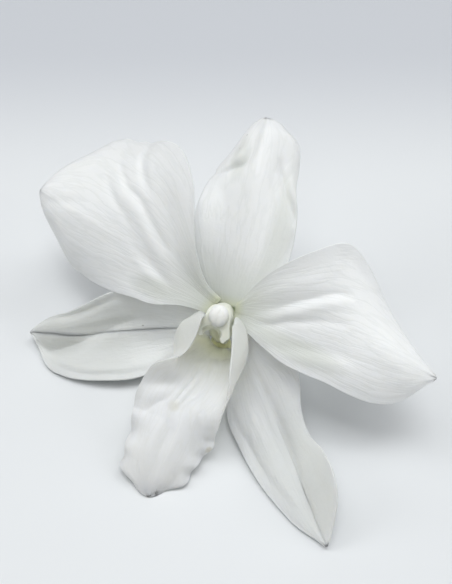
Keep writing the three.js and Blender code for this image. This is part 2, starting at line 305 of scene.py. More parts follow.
@dataclass(frozen=True)
class VeinPattern:
    """Fine veins that fan out from a blade's base, with the crepe of its skin between them."""

    name: str = "fanned veins"
    drift_scale: float = 120.0
    lane_stretch: float = 2.2  # how fast a vein changes on its way along the blade
    streak_scale: float = 2.0
    vein_width: float = 0.16
    vein_depth: float = 0.3
    cell_scale: float = 2600.0
    cell_share: float = 0.5
    crepe_scale: float = 900.0
    cloud_scale: float = 70.0

    def empty_group(self) -> tuple[Nodes, bpy.types.Node, bpy.types.Node]:
        """Makes the group with its sockets, and returns its nodes, its input node and its output node."""
        tree = bpy.data.node_groups.new(self.name, "ShaderNodeTree")
        for key in ("Veins", "Wander", "Crepe"):
            tree.interface.new_socket(key, in_out="INPUT", socket_type="NodeSocketFloat")
        for key in ("Height", "Vein", "Cloud"):
            tree.interface.new_socket(key, in_out="OUTPUT", socket_type="NodeSocketFloat")
        n = Nodes(tree)
        return n, n.add("NodeGroupInput"), n.add("NodeGroupOutput")

    def group(self) -> bpy.types.NodeTree:
        """Builds the node group once, and returns it."""
        if self.name in bpy.data.node_groups:
            return bpy.data.node_groups[self.name]
        n, given, out = self.empty_group()
        across, along = n.blade_place()
        place = n.object_place()
        drift = n.math("SUBTRACT", n.noise(place, self.drift_scale, 2.0), 0.5)
        across = n.math("ADD", across, n.math("MULTIPLY", drift, given.outputs["Wander"]))
        across = n.math("MULTIPLY", across, given.outputs["Veins"])
        lane = n.add("CombineXYZ", {0: across, 1: n.math("MULTIPLY", along, self.lane_stretch)})
        streak = n.noise(lane.outputs[0], self.streak_scale, 2.0)
        ridge = n.math("ABSOLUTE", n.math("MULTIPLY_ADD", streak, 2.0, -1.0))
        vein = n.math("SUBTRACT", 1.0, n.window(ridge, 0.0, self.vein_width))
        cells = n.add("TexVoronoi", {"Vector": place, "Scale": self.cell_scale}, feature="SMOOTH_F1")
        cells = n.math("MULTIPLY", cells.outputs[0], self.cell_share)
        crepe = n.math("ADD", n.noise(place, self.crepe_scale, 3.0), cells)
        crepe = n.math("MULTIPLY", crepe, given.outputs["Crepe"])
        veined = n.math("SUBTRACT", streak, n.math("MULTIPLY", vein, self.vein_depth))
        cloud = n.noise(place, self.cloud_scale, 3.0)
        results = {"Height": n.math("ADD", crepe, veined), "Vein": vein, "Cloud": cloud}
        for key, value in results.items():
            n.tree.links.new(value, out.inputs[key])
        return n.tree


def rgba(colour: Colour) -> tuple[float, float, float, float]:
    """Returns a colour with full alpha."""
    return (*colour, 1.0)


@dataclass(frozen=True)
class Tint:
    """A second colour that comes in over a stretch of the blade, from base, 0, to tip, 1: the tissue's own
    tint, or painted shade.
    """

    colour: Colour
    full: float
    gone: float
    strength: float = 1.0
    aside: float = 0.0  # how far from the midrib it begins, as a share of the fan of veins

    EDGE = 0.06

    def share(self, n: Nodes, across: Input, along: Input) -> bpy.types.NodeSocket:
        """Returns how strongly the tint shows at a place."""
        share = n.math("MULTIPLY", n.window(along, self.gone, self.full), self.strength)
        if not self.aside:
            return share
        off = n.math("ABSOLUTE", n.math("SUBTRACT", across, 0.5))
        return n.math("MULTIPLY", share, n.window(off, self.aside - self.EDGE, self.aside + self.EDGE))


@dataclass(frozen=True)
class Mark:
    """A small soft spot on a blade, at its place across and along, with its reach in those directions: a
    speck of the skin's own colour, or a patch of painted shade.
    """

    colour: Colour
    place: Pair
    reach: Pair
    strength: float

    def share(self, n: Nodes, across: Input, along: Input) -> bpy.types.NodeSocket:
        """Returns how strongly the spot shows at a place."""
        squares = [
            n.math("POWER", n.math("DIVIDE", n.math("SUBTRACT", value, middle), reach), 2.0)
            for value, middle, reach in zip((across, along), self.place, self.reach)
        ]
        return n.math("MULTIPLY", n.window(n.math("ADD", *squares), 1.0, 0.0), self.strength)


@dataclass(frozen=True)
class Finish:
    """Moist plant tissue: a soft satin skin over pale flesh that lets some light through."""

    name: str
    colour: Colour
    vein_colour: Colour
    veins: float = 22.0
    wander: float = 0.05
    crepe: float = 0.5
    relief: float = 0.00006  # the height of the skin's pattern, in metres
    roughness: float = 0.48
    depth: float = 0.002  # how far light spreads under the skin, in metres
    clearness: float = 0.7  # the share of light that goes under the skin
    tints: tuple[Tint, ...] = ()
    marks: tuple[Mark, ...] = ()

    VEIN_SHOW = 0.3
    CLOUD_SHOW = 0.12
    CLOUD_EDGES = (0.35, 0.75)
    GLOSS_SPREAD = 0.16  # how much the roughness varies over the skin
    SPREAD_BY_COLOUR = (1.0, 0.95, 0.85)
    SHEEN = 0.08
    SHEEN_ROUGHNESS = 0.5
    IOR = 1.4

    def paint(self, n: Nodes, veins: bpy.types.Node) -> bpy.types.NodeSocket:
        """Returns the skin's colour, with veins, clouds, tints and marks, some of them painted shade."""
        plain, dark = rgba(self.colour), rgba(self.vein_colour)
        colour = n.blend(n.math("MULTIPLY", veins.outputs["Vein"], self.VEIN_SHOW), plain, dark)
        clouded = n.blend(self.CLOUD_SHOW, colour, dark)
        colour = n.blend(n.window(veins.outputs["Cloud"], *self.CLOUD_EDGES), colour, clouded)
        across, along = n.blade_place()
        for spot in (*self.tints, *self.marks):
            colour = n.blend(spot.share(n, across, along), colour, rgba(spot.colour))
        return colour

    def material(self) -> bpy.types.Material:
        """Builds the material once, and returns it."""
        if self.name in bpy.data.materials:
            return bpy.data.materials[self.name]
        material = bpy.data.materials.new(self.name)
        material.use_nodes = True
        n = Nodes(material.node_tree)
        given = {"Veins": self.veins, "Wander": self.wander, "Crepe": self.crepe}
        veins = n.add("Group", given, node_tree=VeinPattern().group())
        smoothest = self.roughness - self.GLOSS_SPREAD / 2
        relief = {"Height": veins.outputs["Height"], "Distance": self.relief, "Strength": 1.0}
        skin = {
            "Base Color": self.paint(n, veins),
            "Roughness": n.math("MULTIPLY_ADD", veins.outputs["Cloud"], self.GLOSS_SPREAD, smoothest),
            "Normal": n.add("Bump", relief).outputs[0],
            "Subsurface Weight": self.clearness,
            "Subsurface Radius": self.SPREAD_BY_COLOUR,
            "Subsurface Scale": self.depth,
            "Sheen Weight": self.SHEEN,
            "Sheen Roughness": self.SHEEN_ROUGHNESS,
            "IOR": self.IOR,
        }
        n.add("OutputMaterial", {"Surface": n.add("BsdfPrincipled", skin).outputs[0]})
        return material


PETAL_WHITE = (0.87, 0.88, 0.865)
VEIN_WHITE = (0.74, 0.76, 0.735)
# painted shade: a soft grey laid where margins of the petals and the dorsal sepal turn away from the light
PAINTED_SHADE_WHITE = (0.6, 0.62, 0.59)
SPECK_BROWN = (0.42, 0.42, 0.38)
# the first darkens each blade's base: a grey-green flush that is partly the tissue's own tint and partly
# painted shade in the funnel round the column; the second is the real green at the very base
BASE_TINT_AND_SHADE = (
    Tint((0.5, 0.525, 0.49), -0.02, 0.36, 0.85),
    Tint((0.52, 0.54, 0.36), 0.0, 0.07, 0.6),
)
WHITE_SKIN = Finish("white skin", PETAL_WHITE, VEIN_WHITE, wander=0.02, tints=BASE_TINT_AND_SHADE)
LEFT_PETAL_SKIN = replace(
    WHITE_SKIN,
    name="left petal skin",
    # painted shade on the lower margin near the base, where the petal folds away from the light
    marks=(Mark(PAINTED_SHADE_WHITE, (0.36, 0.25), (0.08, 0.16), 0.8),),
)
RIGHT_PETAL_SKIN = replace(
    WHITE_SKIN,
    name="right petal skin",
    # painted shade on the lower half near the base, where the margin turns down away from the light
    marks=(Mark(PAINTED_SHADE_WHITE, (0.59, 0.36), (0.09, 0.3), 0.95),),
)
SEPAL_SKIN = replace(
    WHITE_SKIN,
    name="sepal skin",
    veins=14.0,
    marks=(
        # painted shade along the dorsal sepal's right side and a strip of its left side, where the margins
        # turn away from the light; the brown specks below are real
        Mark(PAINTED_SHADE_WHITE, (0.69, 0.48), (0.1, 0.45), 0.7),
        Mark(PAINTED_SHADE_WHITE, (0.41, 0.77), (0.05, 0.16), 0.6),
        Mark(SPECK_BROWN, (0.404, 0.907), (0.004, 0.008), 0.6),
        Mark(SPECK_BROWN, (0.396, 0.832), (0.004, 0.008), 0.5),
    ),
)
LEFT_LATERAL_SHADED_SKIN = Finish(
    "left lateral shaded skin",
    # painted shade: a greyer copy of the petal white, for the shade that the petals cast on this sepal
    (0.84, 0.855, 0.835),
    VEIN_WHITE,
    veins=14.0,
    wander=0.02,
    # painted shade that comes in a fifth of the way along and is full from the middle to the tip
    tints=(Tint((0.66, 0.675, 0.65), 0.55, 0.2, 0.9),),
    marks=(
        # a patch of painted shade near the tip; the small dark spot after it is a real speck
        Mark((0.52, 0.535, 0.51), (0.46, 0.84), (0.08, 0.2), 0.7),
        Mark((0.36, 0.36, 0.32), (0.528, 0.35), (0.004, 0.009), 0.7),
    ),
)
RIGHT_LATERAL_LIT_AND_SHADED_SKIN = Finish(
    "right lateral lit and shaded skin",
    # painted light: this colour and the vein colour below are brighter copies of the petal whites, which lift
    # the shade that the right petal casts on this sepal
    (0.93, 0.94, 0.92),
    (0.82, 0.835, 0.81),
    veins=14.0,
    wander=0.02,
    clearness=0.9,
    # painted shade that comes in from a third of the way along and is full beyond the middle
    tints=(Tint((0.66, 0.675, 0.655), 0.58, 0.3, 0.9),),
)
LIP_SKIN = Finish(
    "lip skin",
    (0.95, 0.955, 0.92),
    (0.84, 0.84, 0.77),
    veins=16.0,
    wander=0.03,
    depth=0.003,
    clearness=0.9,
    tints=(
        # beige towards the tip: partly the lip's own tint and partly painted shade on its lower part
        Tint((0.85, 0.83, 0.77), 0.98, 0.55, 0.9),
        Tint((0.9, 0.905, 0.72), 0.14, 0.4, 0.6),
        Tint((0.9, 0.91, 0.6), 0.02, 0.2, 0.85),
        # painted shade on the walls of the side lobes, away from the midrib, where the lobes and the cap
        # shade them
        Tint((0.62, 0.635, 0.6), 0.34, 0.5, 0.95, aside=0.2),
    ),
    marks=(
        Mark((0.76, 0.73, 0.62), (0.52, 0.52), (0.035, 0.04), 0.6),
        Mark((0.66, 0.6, 0.46), (0.3, 0.66), (0.02, 0.025), 0.8),
        Mark((0.6, 0.6, 0.52), (0.713, 0.54), (0.05, 0.04), 0.3),
    ),
)
CHIN_SKIN = Finish("chin skin", (0.7, 0.7, 0.42), (0.5, 0.5, 0.28), veins=6.0, crepe=0.4, roughness=0.42)
COLUMN_SKIN = Finish(
    "column skin",
    (0.86, 0.87, 0.79),
    (0.78, 0.8, 0.66),
    veins=5.0,
    crepe=0.3,
    roughness=0.4,
    depth=0.0015,
)
CAP_SKIN = Finish("cap skin", (0.87, 0.875, 0.84), (0.8, 0.81, 0.74), veins=3.0, crepe=0.2, roughness=0.36)
STALK_SKIN = Finish(
    "stalk skin",
    (0.66, 0.74, 0.48),
    (0.5, 0.6, 0.32),
    veins=6.0,
    crepe=0.4,
    roughness=0.42,
    tints=(Tint((0.7, 0.72, 0.6), 0.96, 0.8, 0.95),),
)
POLLEN_SKIN = Finish("pollen skin", (0.8, 0.6, 0.14), (0.66, 0.44, 0.08), crepe=0.4, roughness=0.35)


def hand_over(piece: bpy.types.Object, nodes: Sequence[str], finish: Finish) -> None:
    """Dresses a finished piece and puts it in the place of CAD nodes.

    Args:
        piece: the new piece.
        nodes: the nodes that it stands for.
        finish: what its surface looks like.
    """
    piece.data.materials.clear()
    piece.data.materials.append(finish.material())
    piece.data.polygons.foreach_set("use_smooth", [True] * len(piece.data.polygons))
    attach(piece, BODY)
    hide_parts(*nodes)
    log.info("%s: %d faces", piece.name, len(piece.data.polygons))


@dataclass(frozen=True)
class Half:
    """One half of a blade from base to tip: half widths in millimetres, and angles in degrees."""

    width: Sequence[float]
    lift: Sequence[float]
    curl: Sequence[float]
    nicks: Sequence[Point] = ()  # each one's place along the margin, depth, and spread

    def width_at(self, u: np.ndarray) -> np.ndarray:
        """Returns the half's width at the shares u of the length."""
        width = smooth(self.width, u)
        for place, depth, spread in self.nicks:
            width = width - depth * np.exp(-(((u - place) / spread) ** 2))
        return width


@dataclass(frozen=True)
class Fold:
    """A rounded ridge, or a crease where the height is negative, along a line of places (u, v) of a blade."""

    path: Sequence[Pair]
    width: float
    height: float

    STEPS = 40
    CUT = 0.12  # how much of the rise from nothing is left out at either end

    def places(self) -> tuple[np.ndarray, np.ndarray]:
        """Returns closely spaced places u and v along the line."""
        line = smooth(self.path, np.linspace(0, 1, self.STEPS))
        return line[:, 0], line[:, 1]

    def raised(self, points: np.ndarray, line: np.ndarray) -> np.ndarray:
        """Works out how far the fold raises the blade.

        Args:
            points: the blade's points.
            line: the fold's points on the blade.

        Returns:
            The height at each of the blade's points, which fades at both ends of the line.
        """
        near = np.full(len(points), np.inf)
        share = np.zeros(len(points))
        for k, spot in enumerate(line):
            off = ((points - spot) ** 2).sum(1)
            share = np.where(off < near, k / (self.STEPS - 1), share)
            near = np.minimum(near, off)
        fade = np.sin(np.pi * (self.CUT + (1 - 2 * self.CUT) * share))
        return self.height * fade * np.exp(-near / self.width**2)


@dataclass(frozen=True)
class MarginWave:
    """A ruffle along the margins: its height in millimetres, where it starts, and how many waves it has."""

    height: float = 0.0
    start: float = 0.0
    count: float = 1.0

    def raised(self, u: np.ndarray, v: np.ndarray) -> np.ndarray:
        """Returns the ruffle's height at the places (u, v)."""
        s = np.maximum(0, (u - self.start) / (1 - self.start))
        return self.height * np.sin(TURN * self.count * s) * v**4 * (1 - s**4)


@dataclass(frozen=True)
class Ribs:
    """The fine ribs of a blade, and the broad unevenness of its skin. Heights are in millimetres."""

    count: int
    seed: int
    height: float = 0.008
    sway: float = 0.012  # how far the ribs sway aside, as a share of the width
    sway_rate: float = 9
    sharpness: int = 5
    base: Pair = (0.02, 0.2)  # where the ribs come in and die out, as shares of the length
    tip: Pair = (0.8, 0.98)
    margin_power: int = 6
    unevenness: float = 0.12
    uneven_base: Pair = (0.1, 0.35)
    rates: tuple[Pair, Pair] = ((5.1, 3.3), (2.3, -4.7))  # how fast its two waves run along and across

    def raised(self, u: np.ndarray, v: np.ndarray) -> np.ndarray:
        """Returns the height of ribs and unevenness at the places (u, v)."""
        bends = np.random.default_rng(self.seed).uniform(0, TURN, 1 + len(self.rates))
        sway = self.sway * np.sin(self.sway_rate * u + bends[0])
        fade = ramp(*self.base, u) * (1 - ramp(*self.tip, u)) * (1 - np.abs(v) ** self.margin_power)
        furrows = self.height * fade * np.cos(TURN * self.count * (v / 2 + sway)) ** self.sharpness
        wander = self.unevenness * ramp(*self.uneven_base, u)
        for (along, across), bend in zip(self.rates, bends[1:]):
            wander = wander * np.sin(along * u + across * v + bend)
        return wander - furrows


@dataclass(frozen=True)
class Blade:
    """A sepal, petal or lip: the midrib follows the spine, and each half turns away from it."""

    name: str
    spine: Sequence[Sequence[float]]
    left: Half
    right: Half
    slot: str
    finish: Finish
    ribs: Ribs
    place: Place = Place.BLOOM
    face: Point = (0, 0, 1)
    roll: Sequence[float] = (0, 0)
    folds: tuple[Fold, ...] = ()
    wave: MarginWave = MarginWave()
    tip_roundness: float = 12.0
    columns: int = 120
    rows: int = 110
    thickness: float = 0.62
    margin_share: float = 0.45

    ROW_CROWDING = 1.5
    SECTION_STEPS = 24
    MARGIN_START = 0.7  # where the wall begins to thin towards the margins
    TIP_START = 0.9
    FAN_START = 9.0  # how far behind the base the veins would meet, in millimetres
    FAN_BY_ANGLE = 0.32
    FAN_BY_WIDTH = 0.12

    def section(self, half: Half, u: np.ndarray, t: np.ndarray) -> tuple[np.ndarray, np.ndarray, np.ndarray]:
        """Follows a half's curl out from the midrib.

        Args:
            half: the half to read.
            u: places along the blade.
            t: shares of the half width.

        Returns:
            The way out to the side, the way up, and the slope there.
        """
        lift, curl = (np.radians(smooth(values, u)) for values in (half.lift, half.curl))
        width = half.width_at(u) * np.sqrt(np.maximum(0, 1 - u**self.tip_roundness))
        step = width * t / self.SECTION_STEPS
        out, up = np.zeros_like(u), np.zeros_like(u)
        for k in range(self.SECTION_STEPS):
            angle = lift + curl * (t * (k + 0.5) / self.SECTION_STEPS)
            out += np.cos(angle) * step
            up += np.sin(angle) * step
        return out, up, lift + curl * t

    def middle(self, u: np.ndarray, v: np.ndarray) -> tuple[np.ndarray, np.ndarray]:
        """Returns the smooth blade's points at u along it and v across it, and the way up there."""
        spine = Spine(self.spine)
        tangent = spine.along(u)
        across = np.cross(tangent, np.asarray(self.face, float) / np.linalg.norm(self.face))
        across /= np.linalg.norm(across, axis=-1, keepdims=True)
        turn = np.radians(smooth(self.roll, u))[:, None]
        across = across * np.cos(turn) + np.cross(tangent, across) * np.sin(turn)
        normal = np.cross(across, tangent)
        left, right = self.section(self.left, u, np.abs(v)), self.section(self.right, u, np.abs(v))
        out, up, angle = (np.where(v < 0, a, b)[:, None] for a, b in zip(left, right))
        side = np.sign(v)[:, None]
        points = spine.at(u) + across * side * out + normal * up
        return points, normal * np.cos(angle) - across * side * np.sin(angle)

    def surface(self, u: np.ndarray, v: np.ndarray) -> np.ndarray:
        """Returns the middle surface's points at u along the blade and v across it, in millimetres."""
        points, up = self.middle(u, v)
        height = self.wave.raised(u, v) + self.ribs.raised(u, v)
        for fold in self.folds:
            height = height + fold.raised(points, self.middle(*fold.places())[0])
        return points + up * height[:, None]

    def fan(self, u: np.ndarray, v: np.ndarray) -> np.ndarray:
        """Returns the vein at each place, from 0 to 1: veins leave the base and part towards the margins."""
        left, right = (smooth(half.width, u) for half in (self.left, self.right))
        aside = v * np.where(v < 0, left, right)
        ray = np.arctan2(aside, u * Spine(self.spine).length + self.FAN_START)
        return 0.5 + self.FAN_BY_ANGLE * ray + self.FAN_BY_WIDTH * v

    def mark_places(self, piece: bpy.types.Object, u: np.ndarray, v: np.ndarray) -> None:
        """Writes each corner's vein and its share of the length into the piece's UV map."""
        corners = np.empty(len(piece.data.loops), int)
        piece.data.loops.foreach_get("vertex_index", corners)
        places = np.stack([self.fan(u, v), u], -1)[corners]
        piece.data.uv_layers.active.data.foreach_set("uv", places.ravel())

    def give_wall(self, piece: bpy.types.Object, u: np.ndarray, v: np.ndarray) -> None:
        """Gives the piece a wall that thins towards its margins and tip."""
        edge = np.maximum(ramp(self.MARGIN_START, 1.0, np.abs(v)), ramp(self.TIP_START, 1.0, u))
        group = piece.vertex_groups.new(name="wall")
        for i, weight in enumerate(1 - edge):
            group.add([i], float(weight), "REPLACE")
        merge_doubles(piece)
        modify(
            piece,
            "SOLIDIFY",
            thickness=self.thickness * MM,
            offset=0,
            vertex_group=group.name,
            thickness_vertex_group=self.margin_share,
        )
        piece.vertex_groups.clear()

    def build(self) -> None:
        """Shapes a grid into the blade, gives it its wall, and dresses it."""
        deselect()
        bpy.ops.mesh.primitive_grid_add(x_subdivisions=self.columns, y_subdivisions=self.rows, size=2)
        piece = name_new(self.name)
        grid = read_points(piece)
        v = grid[:, 0]
        u = 1 - (1 - (grid[:, 1] + 1) / 2) ** self.ROW_CROWDING
        write_points(piece, self.surface(u, v), self.place)
        self.mark_places(piece, u, v)
        self.give_wall(piece, u, v)
        hand_over(piece, [self.name], self.finish)


DORSAL_SEPAL = Blade(
    "dorsal_sepal",
    spine=[[-0.1, 1.3, -1.9], [-0.9, 12, -0.4], [-2.3, 24, 0.0], [-4.3, 35.5, -1.2]],
    left=Half(
        width=[2.8, 6.6, 8.9, 9.4, 9.6, 9.4, 8.9, 8.8, 6.5, 3.8],
        lift=[0, 0, 0, -6, -6, -3],
        curl=[0, 6, 14, 0, -46, -56],
    ),
    right=Half(
        width=[2.8, 6.3, 8.3, 9.1, 9.1, 8.5, 7.5, 7.8, 7.5, 5.2],
        lift=[0, -2, -6, -12, -12, -6],
        curl=[0, 2, 2, -6, -40, -50],
        nicks=((0.965, 0.7, 0.02),),
    ),
    slot="sepals",
    finish=SEPAL_SKIN,
    ribs=Ribs(11, seed=3),
    folds=(
        Fold(((0.67, -1.0), (0.71, -0.63), (0.75, -0.32), (0.83, -0.19), (0.94, -0.15)), 1.0, -0.75),
        Fold(((0.71, -0.95), (0.76, -0.55), (0.82, -0.42)), 0.8, 0.4),
        Fold(((0.78, 0.5), (0.74, 0.57), (0.69, 0.7), (0.6, 0.81), (0.5, 0.97)), 0.9, -0.7),
        Fold(((0.7, 0.88), (0.62, 0.97), (0.55, 1.0)), 0.8, 0.35),
        Fold(((0.95, 0.06), (0.76, 0.05), (0.6, 0.07), (0.3, 0.12)), 2.6, 0.4),
        Fold(((0.62, -0.73), (0.52, -0.5), (0.36, -0.5)), 1.6, -0.25),
        Fold(((0.42, 0.9), (0.3, 0.92), (0.18, 0.9)), 1.2, -0.4),
    ),
    tip_roundness=26.0,
)
LEFT_PETAL = Blade(
    "petal_left",
    spine=[[-1.9, 0.7, -0.7], [-12, 4.3, 3.4], [-27, 7.4, 4.0], [-41.8, 9.9, 0.6]],
    left=Half(
        width=[2.2, 3.8, 6.8, 8.1, 9.8, 11.2, 12.5, 13.0, 8.6, 6.4],
        lift=[4, -4, -12, -14, -8],
        curl=[20, 10, -18, -44, -30],
    ),
    right=Half(
        width=[1.6, 2.6, 7.0, 15.8, 19.8, 18.9, 17.0, 16.6, 12.5, 10.4],
        lift=[10, 12, 8, -2, -6],
        curl=[10, 4, -4, -14, -20],
        nicks=((0.58, 0.6, 0.03), (0.77, 0.5, 0.03)),
    ),
    slot="petals",
    finish=LEFT_PETAL_SKIN,
    ribs=Ribs(15, seed=5),
    folds=(
        Fold(((0.68, 0.7), (0.59, 0.51), (0.5, 0.41), (0.44, 0.33), (0.39, 0.28), (0.31, 0.22)), 0.8, -0.4),
        Fold(((0.64, 0.52), (0.53, 0.35), (0.39, 0.17), (0.29, 0.07), (0.2, -0.1)), 1.3, 0.32),
        Fold(((0.58, 1.0), (0.58, 0.82), (0.54, 0.65), (0.48, 0.51)), 0.9, -0.55),
        Fold(((0.7, 0.5), (0.63, 0.35), (0.56, 0.26), (0.5, 0.17)), 0.8, -0.25),
        Fold(((0.47, 0.01), (0.41, -0.17), (0.31, -0.33), (0.23, -0.43)), 1.0, 0.16),
        Fold(((0.36, -0.05), (0.29, -0.2), (0.2, -0.35)), 1.0, -0.3),
        Fold(((0.99, -0.8), (0.9, -0.75), (0.84, -0.72), (0.78, -0.8)), 1.8, -0.7),
        Fold(((0.97, -0.25), (0.87, 0.0), (0.76, 0.11)), 1.2, -0.3),
        Fold(((0.45, 0.85), (0.34, 0.83), (0.25, 0.84), (0.18, 0.92)), 2.4, 0.5),
        Fold(((0.4, 0.55), (0.3, 0.5), (0.2, 0.45), (0.1, 0.4)), 1.8, -0.5),
    ),
    columns=150,
)
RIGHT_PETAL = Blade(
    "petal_right",
    spine=[[2.0, 0.7, -0.8], [12, 1.2, 3.2], [26, 1.4, 4.2], [39.0, 1.9, 1.6]],
    left=Half(
        width=[1.8, 6.1, 10.4, 14.3, 17.2, 15.0, 11.3, 7.7, 4.2, 1.7],
        lift=[10, 10, 2, -4, -6],
        curl=[14, 8, -14, -34, -24],
    ),
    right=Half(
        width=[2.2, 2.9, 4.4, 5.8, 6.2, 6.4, 7.1, 7.4, 6.3, 2.2],
        lift=[10, 0, 0, -4, -4],
        curl=[20, 10, 4, -8, -14],
    ),
    slot="petals",
    finish=RIGHT_PETAL_SKIN,
    ribs=Ribs(15, seed=7),
    folds=(
        Fold(((0.22, -0.27), (0.32, -0.37), (0.41, -0.43), (0.53, -0.57)), 0.8, -0.35),
        Fold(((0.15, -0.02), (0.32, -0.23), (0.44, -0.35), (0.54, -0.48)), 1.0, 0.35),
        Fold(((0.14, 0.2), (0.21, 0.05), (0.28, -0.09), (0.42, -0.17), (0.55, -0.26)), 0.8, -0.35),
        Fold(((0.12, -0.46), (0.24, -0.57), (0.38, -0.62)), 1.4, 0.35),
        Fold(((0.2, 0.7), (0.43, 0.57), (0.62, 0.44)), 1.6, 0.3),
        Fold(((0.18, 0.95), (0.37, 0.47), (0.58, 0.2)), 1.3, -0.3),
        Fold(((0.72, -0.3), (0.83, -0.07), (0.89, 0.4)), 2.0, 0.35),
        Fold(((0.44, -0.86), (0.62, -0.84), (0.79, -0.76), (0.95, -0.5)), 1.2, -0.25),
    ),
    columns=150,
)
LEFT_LATERAL_SEPAL = Blade(
    "lateral_sepal_left",
    spine=[[-3.1, -3.2, -2.6], [-11, -6.8, -3.4], [-23, -12.3, -2.8], [-35.2, -16.4, -1.4]],
    left=Half(
        width=[3, 5.5, 7.1, 8.6, 9.6, 9.7, 9.5, 8.8, 7.2, 1.8],
        lift=[0, 12, 16, 16, 10],
        curl=[4, 10, 14, 16, 10],
    ),
    right=Half(
        width=[3.3, 5.2, 7.7, 9.1, 8.9, 7.9, 6.4, 4.7, 3.7, 2.0],
        lift=[0, 18, 27, 30, 20],
        curl=[4, 10, 10, 6, 0],
    ),
    slot="sepals",
    finish=LEFT_LATERAL_SHADED_SKIN,
    ribs=Ribs(11, seed=11),
    roll=[-40, -14, 0, 0, 0],
    folds=(
        Fold(((0.5, 0.02), (0.7, 0.0), (0.97, 0.0)), 2.2, 1.0),
        Fold(((0.1, 0.0), (0.35, 0.0), (0.6, 0.0)), 1.6, 0.6),
        Fold(
            ((0.96, -0.6), (0.88, -0.52), (0.8, -0.31), (0.72, -0.17), (0.62, 0), (0.5, 0.16), (0.3, 0.3)),
            1.7,
            -0.9,
        ),
        Fold(((0.93, -0.58), (0.8, -0.31), (0.72, -0.17), (0.62, 0), (0.5, 0.16), (0.36, 0.28)), 0.5, -0.2),
        Fold(((0.86, 0.52), (0.71, 0.47), (0.56, 0.42), (0.4, 0.38)), 1.0, 0.3),
        Fold(((0.82, 0.86), (0.73, 0.8), (0.66, 0.78), (0.56, 0.8), (0.45, 0.85)), 0.7, -0.5),
        Fold(((0.86, -0.78), (0.69, -0.84), (0.52, -0.85), (0.36, -0.86)), 0.6, -0.35),
    ),
)
RIGHT_LATERAL_SEPAL = Blade(
    "lateral_sepal_right",
    spine=[[3.3, -3.1, -2.7], [10.5, -10.6, -2.2], [21.2, -20.3, 1.6], [31.8, -29.6, 8.4]],
    left=Half(
        width=[3.6, 7.3, 8.9, 7.4, 5.5, 5.3, 7.7, 9.5, 8.2, 3.1],
        lift=[0, -4, 2, 24, 20],
        curl=[4, 0, 4, 8, 4],
    ),
    right=Half(
        width=[3, 4.9, 6.9, 7.9, 7.7, 7.4, 6.7, 5.4, 3.8, 1.1],
        lift=[0, 13, 20, 25, 17],
        curl=[4, 10, 12, 12, 8],
    ),
    slot="sepals",
    finish=RIGHT_LATERAL_LIT_AND_SHADED_SKIN,
    ribs=Ribs(11, seed=13),
    face=(0, -0.2, 1),
    roll=[40, 14, 0, 0, 0],
    folds=(
        Fold(((0.25, 0.85), (0.44, 0.77), (0.6, 0.72), (0.8, 0.62)), 0.7, -0.35),
        Fold(((0.27, 0.47), (0.42, 0.42), (0.6, 0.4), (0.77, 0.37)), 1.6, 0.4),
        Fold(((0.1, -0.05), (0.26, -0.08), (0.41, -0.14), (0.51, -0.16), (0.7, -0.09)), 0.9, -0.35),
        Fold(((0.24, -0.45), (0.41, -0.55), (0.58, -0.6)), 1.4, 0.25),
    ),
)
LIP = Blade(
    "lip",
    spine=[
        [0.5, -7.0, -4.6],
        [0.1, -8.9, -1.3],
        [0, -10.6, 2.0],
        [-0.4, -13.4, 5.4],
        [-1.6, -18.6, 7.8],
        [-1.8, -26.2, 9.6],
        [-1.0, -33.1, 10.5],
    ],
    left=Half(
        width=[2.8, 10.5, 15.7, 17.7, 14.6, 9.6, 8.0, 8.7, 7.9, 7.1, 7.5, 4.6],
        lift=[4, 4, 0, 0, 0, 0, -4, -6, -6, -4, 0],
        curl=[64, 114, 153, 160, 133, 74, 11, -20, -24, -20, -20, -30],
        nicks=((0.955, 0.9, 0.022),),
    ),
    right=Half(
        width=[2.8, 8.8, 13.6, 16.3, 10.7, 8.1, 7.6, 6.9, 6.6, 6.6, 7.2, 6.4],
        lift=[4, 4, 0, 0, 0, 0, -4, -6, -6, -4, 0],
        curl=[60, 94, 141, 149, 128, 29, -6, -14, -21, -15, -18, -30],
        nicks=((0.95, 1.6, 0.035), (0.875, -0.7, 0.025)),
    ),
    slot="lip",
    finish=LIP_SKIN,
    ribs=Ribs(13, seed=17),
    place=Place.THROAT,
    folds=(
        Fold(((0.14, -0.02), (0.3, -0.01), (0.41, 0.01), (0.5, 0.05)), 0.4, 0.3),
        Fold(((0.14, 0.07), (0.31, 0.09), (0.42, 0.16), (0.5, 0.18)), 0.4, 0.25),
        Fold(((0.14, -0.11), (0.29, -0.11), (0.39, -0.13), (0.48, -0.12)), 0.4, 0.25),
        Fold(((0.5, 1.0), (0.46, 0.63), (0.42, 0.35), (0.37, 0.2)), 1.2, -0.45),
        Fold(((0.56, 0.95), (0.52, 0.6), (0.47, 0.36)), 1.4, 0.2),
        Fold(((0.55, 0.1), (0.66, -0.01), (0.8, 0.03), (0.96, 0.12)), 1.0, -0.5),
        Fold(((0.6, 0.7), (0.54, 0.47), (0.49, 0.3)), 0.7, -0.3),
        Fold(((0.99, -0.85), (0.86, -0.55)), 1.0, -0.5),
        Fold(((0.61, -1.0), (0.63, -0.7)), 0.9, -0.5),
        Fold(((0.52, -0.2), (0.66, -0.3), (0.8, -0.35)), 1.8, 0.35),
        Fold(((0.6, 0.3), (0.72, 0.35), (0.84, 0.4)), 1.8, 0.35),
    ),
    wave=MarginWave(0.5, 0.6, 2.8),
    tip_roundness=9.0,
    columns=160,
    rows=170,
)


@dataclass(frozen=True)
class Station:
    """A cross-section of a body: its centre, and its reach from the top, over the side, to the bottom."""

    centre: Point
    reach: Sequence[float]


